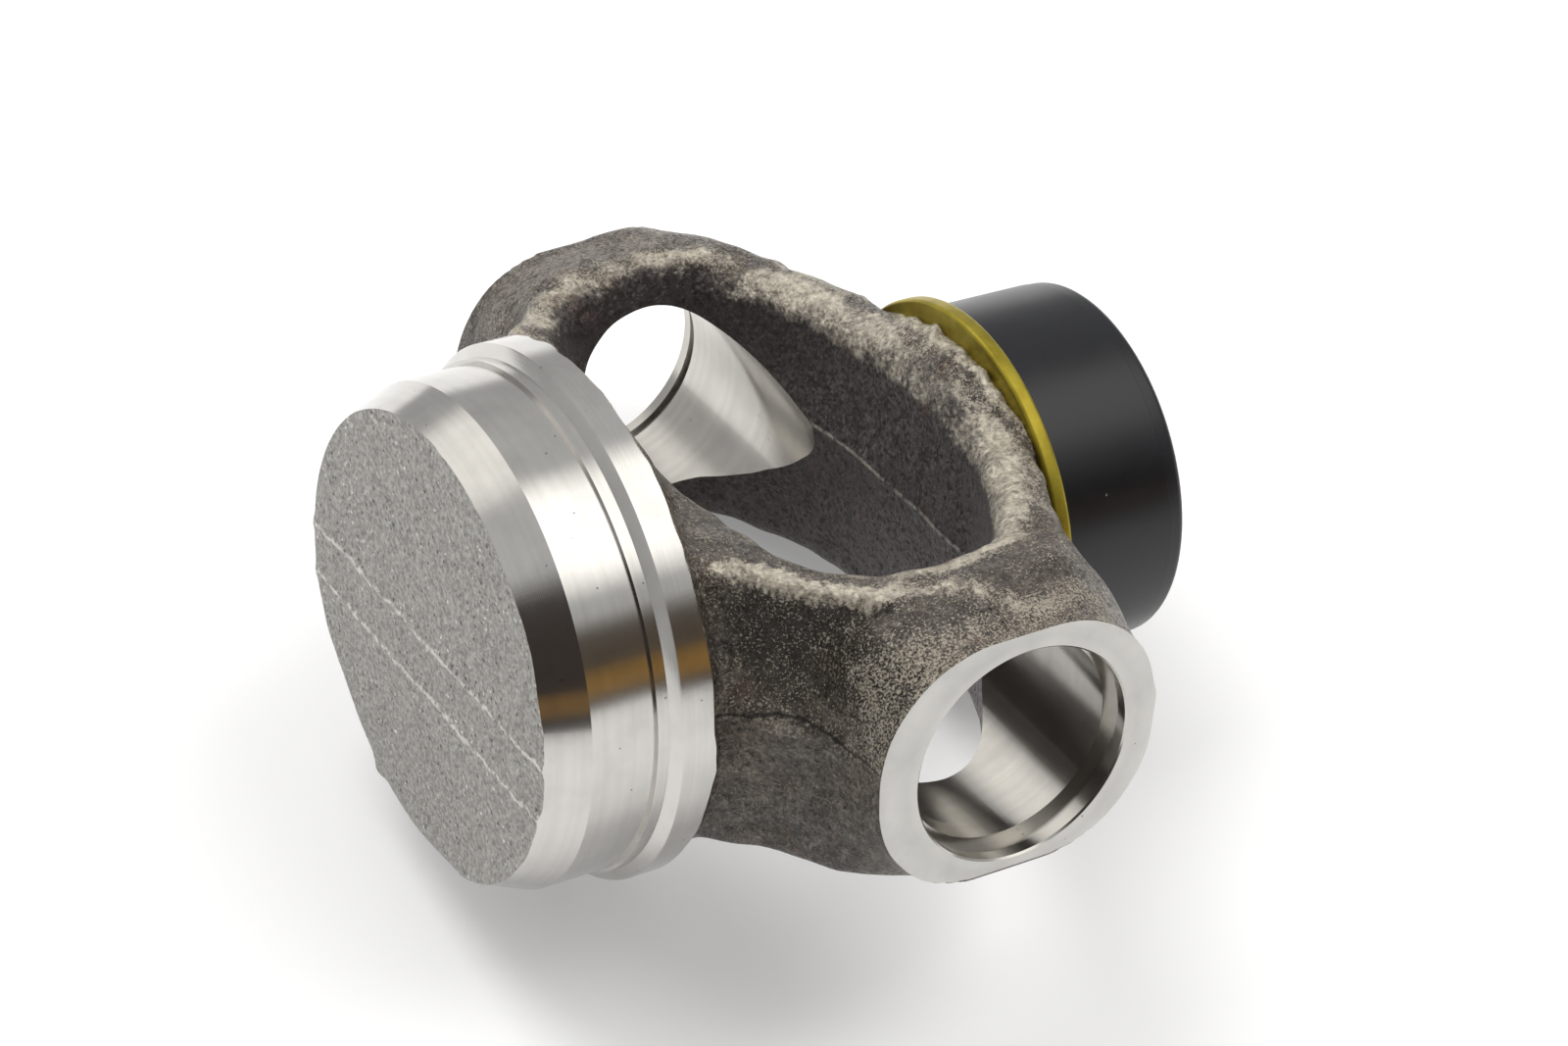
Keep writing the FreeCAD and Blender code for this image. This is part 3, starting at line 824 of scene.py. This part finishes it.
def mottled_skin(n, spot, middle, grit):
    """The blasted skin's mottle, with a slow change of tint and a fine grain."""
    skin = n.ramp(middle, (0.28, SKIN_DARK), (0.52, SKIN_PLAIN), (0.76, SKIN_LIGHT))
    tint = n.ramp(n.noise(spot, size=14), (0.35, COOL_TINT), (0.65, WARM_TINT))
    skin = n.mix(1.0, skin, tint, "MULTIPLY")
    grain = n.ramp(grit, (0.32, 0.45), (0.5, 0.95), (0.68, 1.8))
    return n.mix(0.85, skin, grain, "MULTIPLY")


def painted_glints(n, spot, ridge, inner, seam):
    """Painted glints: bright specks of highlight, most on the ridges and the ear's root, fewest in the window
    and below the seam, where shade falls.
    """
    chance = n.noise(spot, size=0.32, detail=2, rough=0.65)
    chance = n.plus(chance, n.swing(spot, size=4, reach=0.25))
    chance = n.plus(chance, n.times(ridge, 0.16))
    chance = n.plus(chance, n.times(n.attribute("shine"), 0.11))
    above_seam = n.plus(0.45, n.times(n.fade(seam, -0.3, 0.3), 0.55))
    shown = n.times(n.inverse(n.times(inner, 0.8)), above_seam)
    return n.times(n.fade(chance, 0.55, 0.68), shown)


def rubbed_and_highlight_colour(n, spot):
    """The patchy pale metal of the rubbed ridges: partly real wear, partly painted highlight."""
    patchy = n.ramp(n.noise(spot, size=1.0, rough=0.7), (0.3, 0.35), (0.5, 0.9), (0.7, 1.35))
    return n.mix(1.0, WORN_AND_HIGHLIGHT, patchy, "MULTIPLY")


def trim_line(n, spot, z, inner):
    """The broken bright line round the window's wall, where its flash was trimmed."""
    off = n.math("ABSOLUTE", n.minus(z, PARTING + TRIM_RISE))
    line = n.inverse(n.fade(off, 0.12, 0.45))
    broken = n.fade(n.noise(spot, size=1.5), 0.35, 0.55)
    return n.times(n.times(line, inner), broken)


def seam_shadow_line(n, spot, x, y, seam):
    """A painted shadow: the dark line along the seam's ledge on the near flank, beside the collar."""
    flank = n.times(n.fade(n.times(y, -1.0), 26, 30), n.inverse(n.fade(x, 44, 50)))
    wander = n.swing(spot, size=1.3, reach=0.9)
    off = n.math("ABSOLUTE", n.plus(n.minus(seam, 0.35), wander))
    return n.times(n.inverse(n.fade(off, 0.06, 0.3)), flank)


def end_face_colour(n, spot, y, z):
    """The stub's pale gritty end, with its two flash lines, its flecks and its pits."""
    grit = n.noise(spot, size=0.7, detail=4, rough=0.75)
    pale = n.ramp(grit, (0.3, FACE_DARK), (0.5, FACE_PLAIN), (0.72, FACE_LIGHT))
    for (y0, z0), (y1, z1) in FACE_LINES:
        long = math.hypot(y1 - y0, z1 - z0)
        across = n.times(n.minus(y, y0), (z1 - z0) / long)
        off = n.minus(across, n.times(n.minus(z, z0), (y1 - y0) / long))
        off = n.plus(off, n.swing(spot, size=2.4, detail=4, rough=0.7, reach=2.6))
        line = n.inverse(n.fade(n.math("ABSOLUTE", off), 0.1, 0.5))
        line = n.times(line, n.fade(n.noise(spot, size=1.6, rough=0.7), 0.38, 0.55))
        pale = n.lay(pale, FACE_LINE, line, share=0.8)
    fleck = n.fade(n.split(n.cells(spot, 0.38, "Color"))[1], 0.955, 0.99)
    gathered = n.fade(n.noise(spot, size=5, detail=2, rough=0.5), 0.42, 0.6)
    pale = n.mix(n.times(fleck, gathered), pale, FLECK)
    pits = n.math("LESS_THAN", n.cells(spot, 1.7), 0.15)
    return n.lay(pale, PIT, pits, share=0.75)


def forged_skin():
    """Dark blasted forging skin, rubbed bright on its ridges as partly real wear and partly painted
    highlight, with painted glints, painted shade under the near ridge and on the window's walls, a painted
    shadow along the seam, and a paler gritty end face.
    """
    n = Nodes.surface("forged_skin")
    spot = n.place()
    x, y, z = n.split(spot)
    middle = n.noise(spot, size=2.2, detail=4, rough=0.65)
    grit = n.noise(spot, size=0.7, rough=0.7)
    ridge, inner, seam = n.attribute("ridge"), n.attribute("inner"), n.attribute("seam")
    skin = mottled_skin(n, spot, middle, grit)
    # Painted shade on the near flank under the ridge.
    skin = n.lay(skin, PAINTED_SHADE, n.attribute("shade"), share=0.85)
    # Painted glints.
    skin = n.lay(skin, PAINTED_GLINT_COLOUR, painted_glints(n, spot, ridge, inner, seam), share=0.75)
    # Painted shade: the window's inner walls darkened.
    wall = n.noise(spot, size=1.4, detail=4, rough=0.7)
    skin = n.lay(skin, n.ramp(wall, (0.3, SHADED_WALL_DARK), (0.7, SHADED_WALL_PALE)), inner, share=0.9)
    # Rubbed ridges: partly real wear, partly painted highlight.
    rub_and_highlight = n.plus(ridge, n.swing(spot, size=0.9, rough=0.7, reach=1.6))
    skin = n.lay(skin, rubbed_and_highlight_colour(n, spot), n.fade(rub_and_highlight, 0.3, 1.15), share=0.85)
    skin = n.lay(skin, TRIM, trim_line(n, spot, z, inner), share=0.7)
    # Painted shadow along the seam on the near flank.
    skin = n.lay(skin, SEAM_SHADOW, seam_shadow_line(n, spot, x, y, seam), share=0.9)
    face = n.inverse(n.fade(x, 0.9, 1.7))
    skin = n.mix(face, skin, end_face_colour(n, spot, y, z))
    rust = n.times(n.fade(n.noise(spot, size=5.5), 0.6, 0.75), 0.3)
    skin = n.mix(n.times(rust, n.inverse(face)), skin, RUST)
    rough = n.plus(0.38, n.times(face, 0.2))
    normal = n.bump(middle, distance=0.5, strength=0.7)
    normal = n.bump(grit, distance=0.3, strength=0.9, before=normal)
    normal = n.facets(spot, size=0.5, tilt=0.7, before=normal)
    return n.finish(Base_Color=skin, Metallic=0.45, Roughness=rough, Normal=normal)


TURNED_TONE = (0.6, 0.585, 0.56)
BORED_TONE = (0.57, 0.55, 0.515)
MILLED_TONE = (0.60, 0.59, 0.57)
STEEL_SPECK = (0.05, 0.04, 0.035)


def darker(tone, share):
    return tuple(value * share for value in tone)


def machined(name, along, tone, roughness, lines):
    """Bright cut steel. Its fine lines run round X or Y and stretch the sheen, or for R round the bore."""
    n = Nodes.surface(name)
    spot = n.place()
    x, y, z = n.split(spot)
    if along == "R":
        from_axis = n.math("POWER", n.minus(x, EAR_AXIS), 2.0)
        reach = n.math("SQRT", n.plus(from_axis, n.math("POWER", z, 2.0)))
    else:
        reach = {"X": x, "Y": y}[along]
        axis = {"X": Vector((1, 0, 0)), "Y": Vector((0, 1, 0))}[along]
        n.put(n.shader.inputs["Tangent"], n.combine(*(REST.to_3x3() @ axis)))
        n.shader.inputs["Anisotropic"].default_value = 0.75
    line = n.combine(reach, 0.0, 0.0)
    fine = n.noise(line, size=lines)
    wide = n.noise(line, size=lines * 9, detail=2, rough=0.5)
    feed = n.math("SINE", n.times(reach, 2 * math.pi / (lines * 1.6)))
    normal = n.bump(n.plus(fine, n.times(feed, 0.12)), distance=0.012, strength=0.5)
    stain = n.fade(n.noise(spot, size=7), 0.35, 0.8)
    colour = n.mix(stain, tone, darker(tone, 0.86))
    colour = n.lay(colour, darker(tone, 0.7), n.fade(wide, 0.3, 0.7), share=0.25)
    specks = n.math("LESS_THAN", n.cells(spot, 3.4), 0.035)
    colour = n.mix(specks, colour, STEEL_SPECK)
    rough = n.plus(roughness, n.times(n.minus(wide, 0.5), 0.06))
    return n.finish(Base_Color=colour, Metallic=1.0, Roughness=rough, Normal=normal)


RING_DARK = (0.25, 0.19, 0.018)
RING_PLAIN = (0.36, 0.29, 0.032)
RING_LIGHT = (0.48, 0.39, 0.07)


def ring_plating():
    """Yellow zinc plating, a little blotchy."""
    n = Nodes.surface("ring_plating")
    spot = n.place()
    blotch = n.noise(spot, size=5)
    fine = n.noise(spot, size=0.5)
    colour = n.ramp(blotch, (0.35, RING_DARK), (0.6, RING_PLAIN), (0.8, RING_LIGHT))
    normal = n.bump(fine, distance=0.02, strength=0.4)
    rough = n.plus(0.3, n.times(fine, 0.12))
    return n.finish(Base_Color=colour, Metallic=0.85, Roughness=rough, Normal=normal)


CAP_DARK = (0.003, 0.0032, 0.0048)
CAP_LIGHT = (0.006, 0.0064, 0.009)
DUST = (0.22, 0.22, 0.23)


def cap_moulding():
    """Smooth black moulding with a few specks of dust."""
    n = Nodes.surface("cap_moulding")
    spot = n.place()
    broad = n.noise(spot, size=9)
    fine = n.noise(spot, size=0.5, detail=2, rough=0.5)
    colour = n.ramp(broad, (0.3, CAP_DARK), (0.7, CAP_LIGHT))
    dust = n.math("LESS_THAN", n.cells(spot, 4.5), 0.045)
    dust = n.times(dust, n.fade(n.noise(spot, size=2.2, detail=2, rough=0.5), 0.45, 0.6))
    colour = n.mix(dust, colour, DUST)
    rough = n.plus(0.24, n.times(broad, 0.12))
    normal = n.bump(fine, distance=0.01, strength=0.3)
    return n.finish(Base_Color=colour, Metallic=0.0, Roughness=rough, Specular_IOR_Level=0.42, Normal=normal)


# The forging: its raw shape, then the machined cuts

STUB_SEGMENTS = 384
BORE_SEGMENTS = 256
PIECE_SEGMENTS = 320
# How far the turning tool stands out before the end face, and the radius that its outside clears.
OVER = 4.0
OUTSIDE = 46.0
# The milling cutter: its depth beyond the ear's face, and its reach along X and Z.
MILL_DEPTH = 12
MILL_X = (20, 95)
MILL_Z = (-35, 35)
# The mouth's tool: its reach past the groove, its clearance in the bore, and how far it stands out.
MOUTH_INSIDE = 6
MOUTH_CLEARANCE = 1
MOUTH_OUTSIDE = 3
BORE_REACH = 62
SHARP_CUT = 20


def stub_tool():
    """All that is turned off outside the bevel, the seat, the weld step and the collar."""
    chamfer_start = STEP_END + WELD_BEVEL
    profile = [
        (-OVER, FACE_RADIUS - OVER * (SEAT_RADIUS - FACE_RADIUS) / BEVEL_END),
        (BEVEL_END, SEAT_RADIUS),
        (SEAT_END, SEAT_RADIUS),
        (SEAT_END, STEP_RADIUS),
        (STEP_END, STEP_RADIUS),
        (chamfer_start, COLLAR_RADIUS - COLLAR_CHAMFER),
        (chamfer_start + COLLAR_CHAMFER, COLLAR_RADIUS),
    ]
    profile += [(place, COLLAR_RADIUS + height) for place, height in COLLAR_RUNOUT]
    profile += [(COLLAR_RUNOUT[-1][0], OUTSIDE), (-OVER, OUTSIDE)]
    return lathe("stub_tool", profile, STUB_SEGMENTS)


def ear_face_tool(sign):
    """A block against the face of the ear on that side."""
    ends = sorted((sign * EAR_FACE, sign * (EAR_FACE + MILL_DEPTH)))
    corners = [(x, y, z) for x in MILL_X for y in ends for z in MILL_Z]
    faces = [(0, 1, 3, 2), (4, 6, 7, 5), (0, 4, 5, 1), (2, 3, 7, 6), (0, 2, 6, 4), (1, 5, 7, 3)]
    return outward(mesh_object("ear_face_tool", corners, faces))


def mouth_tool(sign):
    """The ear's snap-ring groove and its chamfered mouth."""
    inside = GROOVE_INNER - MOUTH_INSIDE
    outside = EAR_FACE + MOUTH_OUTSIDE
    profile = [
        (inside, 0),
        (inside, BORE_RADIUS - MOUTH_CLEARANCE),
        (GROOVE_INNER, BORE_RADIUS - MOUTH_CLEARANCE),
        (GROOVE_INNER, GROOVE_RADIUS),
        (GROOVE_OUTER, GROOVE_RADIUS),
        (GROOVE_OUTER, MOUTH_RADIUS),
        (EAR_FACE - MOUTH_CHAMFER, MOUTH_RADIUS),
        (outside, MOUTH_RADIUS + (MOUTH_OUTSIDE + MOUTH_CHAMFER)),
        (outside, 0),
    ]
    profile = [(sign * along, radius) for along, radius in profile]
    return lathe("mouth_tool", profile, BORE_SEGMENTS, "Y", EAR_AXIS)


def bore_tool():
    """The bore through both ears."""
    profile = [(-BORE_REACH, 0), (-BORE_REACH, BORE_RADIUS), (BORE_REACH, BORE_RADIUS), (BORE_REACH, 0)]
    return lathe("bore_tool", profile, BORE_SEGMENTS, "Y", EAR_AXIS)


def grid_sample(values, places):
    """Values of a grid field at places on the yoke's axes, each from the nearest grid point."""
    index = np.rint((places - LOW) / PITCH).astype(int)
    index = np.clip(index, 0, np.array(values.shape) - 1)
    return values[tuple(index.T)]


def add_masks(mesh, marks):
    """Give the mesh the masks that the forged skin reads."""
    places = np.empty(len(mesh.vertices) * 3)
    mesh.vertices.foreach_get("co", places)
    places = places.reshape(-1, 3) / MM
    masks = {name: grid_sample(marks[name], places) for name in ("ridge", "shade", "shine")}
    masks["inner"] = until(np.abs(grid_sample(marks["window"], places)), 0.6, 2.0)
    grid_level = np.rint((places[:, 2] - LOW[2]) / PITCH) * PITCH + LOW[2]
    masks["seam"] = grid_sample(marks["seam"], places) + places[:, 2] - grid_level
    for name, values in masks.items():
        layer = mesh.attributes.new(name, "FLOAT", "POINT")
        layer.data.foreach_set("value", values.astype(np.float32))


def smooth_faces(mesh):
    mesh.polygons.foreach_set("use_smooth", np.ones(len(mesh.polygons), dtype=bool))


def sharpen_cuts(mesh):
    """Sharp edges round every machined face, and where it turns by more than the limit."""
    slots = np.empty(len(mesh.polygons), dtype=np.int32)
    mesh.polygons.foreach_get("material_index", slots)
    raw = mesh.materials.find("forged_skin")
    edge_faces = {}
    for face in mesh.polygons:
        for key in face.edge_keys:
            edge_faces.setdefault(key, []).append(face.index)
    limit = math.cos(math.radians(SHARP_CUT))
    normals = [face.normal.copy() for face in mesh.polygons]
    for edge in mesh.edges:
        faces = edge_faces.get(edge.key, [])
        if len(faces) != 2:
            continue
        one, other = faces
        if slots[one] == raw and slots[other] == raw:
            continue
        if slots[one] != slots[other] or normals[one].dot(normals[other]) < limit:
            edge.use_edge_sharp = True


field, marks = raw_field()
forging = mesh_object("forging", *net_mesh(field))
set_material(forging, forged_skin())
turned = machined("turned_steel", "X", TURNED_TONE, roughness=0.17, lines=0.16)
bored = machined("bored_steel", "Y", BORED_TONE, roughness=0.18, lines=0.2)
milled = machined("milled_steel", "R", MILLED_TONE, roughness=0.42, lines=0.35)
cut(forging, stub_tool(), turned)
for side in (-1, 1):
    cut(forging, ear_face_tool(side), milled)
    cut(forging, mouth_tool(side), bored)
cut(forging, bore_tool(), bored)
add_masks(forging.data, marks)
smooth_faces(forging.data)
forging.data.update()
sharpen_cuts(forging.data)
settle(forging)
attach(forging, BODY)
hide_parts("yoke_forging")

# The ring and the cap


def arc_points(along, radius, size, start, end, count):
    """Points on part of a circle in a profile, angles in degrees."""
    turns = [math.radians(start + (end - start) * n / count) for n in range(count + 1)]
    return [(along + size * math.cos(turn), radius + size * math.sin(turn)) for turn in turns]


def round_piece(name, profile, material, sharp):
    """A turned piece in place, sharp where it turns by more than that many degrees."""
    piece = lathe(name, profile, PIECE_SEGMENTS)
    smooth_faces(piece.data)
    piece.data.set_sharp_from_angle(angle=math.radians(sharp))
    set_material(piece, material)
    settle(piece)
    return piece


ring_middle = RING_RADIUS - RING_ROUND
ring_profile = [
    (BRIDGE_BACK, SPIGOT_RADIUS),
    *arc_points(BRIDGE_BACK + RING_ROUND, ring_middle, RING_ROUND, start=180, end=90, count=5),
    *arc_points(RING_END - RING_ROUND, ring_middle, RING_ROUND, start=90, end=0, count=5),
    (RING_END, SPIGOT_RADIUS),
]
ring = round_piece("ring", ring_profile, ring_plating(), sharp=40)
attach(ring, BODY)
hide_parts("seal_ring")

cap_profile = [
    (RING_END, SPIGOT_RADIUS),
    (RING_END, CAP_MOUTH_RADIUS),
    (RING_END + CAP_CHAMFER, CAP_FOOT_RADIUS),
    *[(CAP_END - back, radius) for back, radius in CAP_STEP],
    *arc_points(CAP_END - CAP_ROUND, CAP_RADIUS - CAP_ROUND, CAP_ROUND, start=90, end=0, count=8),
    (CAP_END, 0),
    (CAP_END - CAP_FLOOR, 0),
    (CAP_END - CAP_FLOOR, SPIGOT_RADIUS),
]
cap = round_piece("cap", cap_profile, cap_moulding(), sharp=30)
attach(cap, BODY)
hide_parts("end_cap")

# Studio

# The room's walls by height, from below the horizon to overhead, as greys.
ROOM_GREYS = [(0.45, 0.5), (0.62, 0.52), (0.85, 0.62), (1.0, 0.66)]
# Patches of the room: azimuth and elevation, inner and outer half-angle, all in degrees, and colour.
ROOM_PATCHES = [
    (-116, 28, 26, 40, (0.055, 0.045, 0.04)),
    (-62, 16, 12, 22, (0.1, 0.08, 0.06)),
    (-50, 8, 3, 6, (0.36, 0.2, 0.05)),
    (-60, 9, 4, 7, (0.36, 0.2, 0.05)),
    (-71, 9, 4, 7, (0.3, 0.17, 0.05)),
    (-106, 11, 3, 7, (0.3, 0.17, 0.05)),
    (-14, 57, 12, 30, (2.1, 2.08, 2.0)),
    (97, 50, 14, 32, (1.35, 1.33, 1.28)),
]
FLOOR_WHITE = (0.93, 0.93, 0.93, 1)
# The share of plain white in the floor, where the camera sees it or a mirror shows it.
FLOOR_GLOW = 0.25
LAMP_DISTANCE = 1.2


def direction(azimuth, elevation):
    a, e = math.radians(azimuth), math.radians(elevation)
    return Vector((math.cos(e) * math.cos(a), math.cos(e) * math.sin(a), math.sin(e)))


def studio_world():
    """A pale room, dark towards the camera, with a few warm things low in it and soft lights above."""
    world = bpy.data.worlds.new("studio")
    bpy.context.scene.world = world
    world.use_nodes = True
    world.node_tree.nodes.clear()
    n = Nodes(world.node_tree)
    way = n.node("ShaderNodeTexCoord").outputs["Generated"]
    height = n.plus(n.times(n.split(way)[2], 0.5), 0.5)
    colour = n.ramp(height, *ROOM_GREYS)
    for azimuth, elevation, inner, outer, tone in ROOM_PATCHES:
        towards = n.node("ShaderNodeVectorMath", {"operation": "DOT_PRODUCT"}, _0=way)
        towards.inputs[1].default_value = direction(azimuth, elevation)
        low, high = math.cos(math.radians(outer)), math.cos(math.radians(inner))
        colour = n.mix(n.fade(towards.outputs["Value"], low, high), colour, tone)
    back = n.node("ShaderNodeBackground", None, _0=colour, _1=1.0)
    n.node("ShaderNodeOutputWorld", None, _0=back.outputs[0])


def studio_floor():
    """A white floor that keeps the object's shadow."""
    bpy.ops.mesh.primitive_plane_add(size=6.0)
    floor = bpy.context.object
    floor.name = "floor"
    n = Nodes.surface("floor_white")
    diffuse = n.node("ShaderNodeBsdfDiffuse", None, _0=FLOOR_WHITE)
    glow = n.node("ShaderNodeEmission", None, _1=1.0)
    path = n.node("ShaderNodeLightPath")
    seen = n.math("MAXIMUM", path.outputs["Is Camera Ray"], path.outputs["Is Glossy Ray"])
    seen = n.math("MAXIMUM", seen, path.outputs["Is Transmission Ray"])
    share = n.times(seen, FLOOR_GLOW)
    blend = n.node("ShaderNodeMixShader", None, _0=share, _1=diffuse.outputs[0], _2=glow.outputs[0])
    n.put(n.tree.nodes["Material Output"].inputs[0], blend.outputs[0])
    floor.data.materials.append(n.material)


def lamp(name, azimuth, elevation, size, power):
    """A round soft lamp, turned towards the object; polished faces don't show it."""
    data = bpy.data.lights.new(name, "AREA")
    data.shape = "DISK"
    data.size = size
    data.energy = power
    made = linked(name, data)
    way = direction(azimuth, elevation)
    made.location = way * LAMP_DISTANCE
    made.rotation_euler = way.to_track_quat("Z", "Y").to_euler()
    made.visible_glossy = False


def camera():
    data = bpy.data.cameras.new("camera")
    data.lens = 120.828
    data.sensor_width = 36.0
    data.clip_start = 0.05
    made = linked("camera", data)
    made.location = (-0.23942291, -0.40478373, 0.57268227)
    made.rotation_mode = "QUATERNION"
    made.rotation_quaternion = (0.90614686, 0.33859289, -0.10093203, -0.23251978)
    bpy.context.scene.camera = made


studio_world()
studio_floor()
lamp("key", 100, 58, size=0.7, power=7)
lamp("top", -20, 62, size=0.6, power=3.5)
camera()
bpy.context.scene.view_settings.view_transform = "Standard"
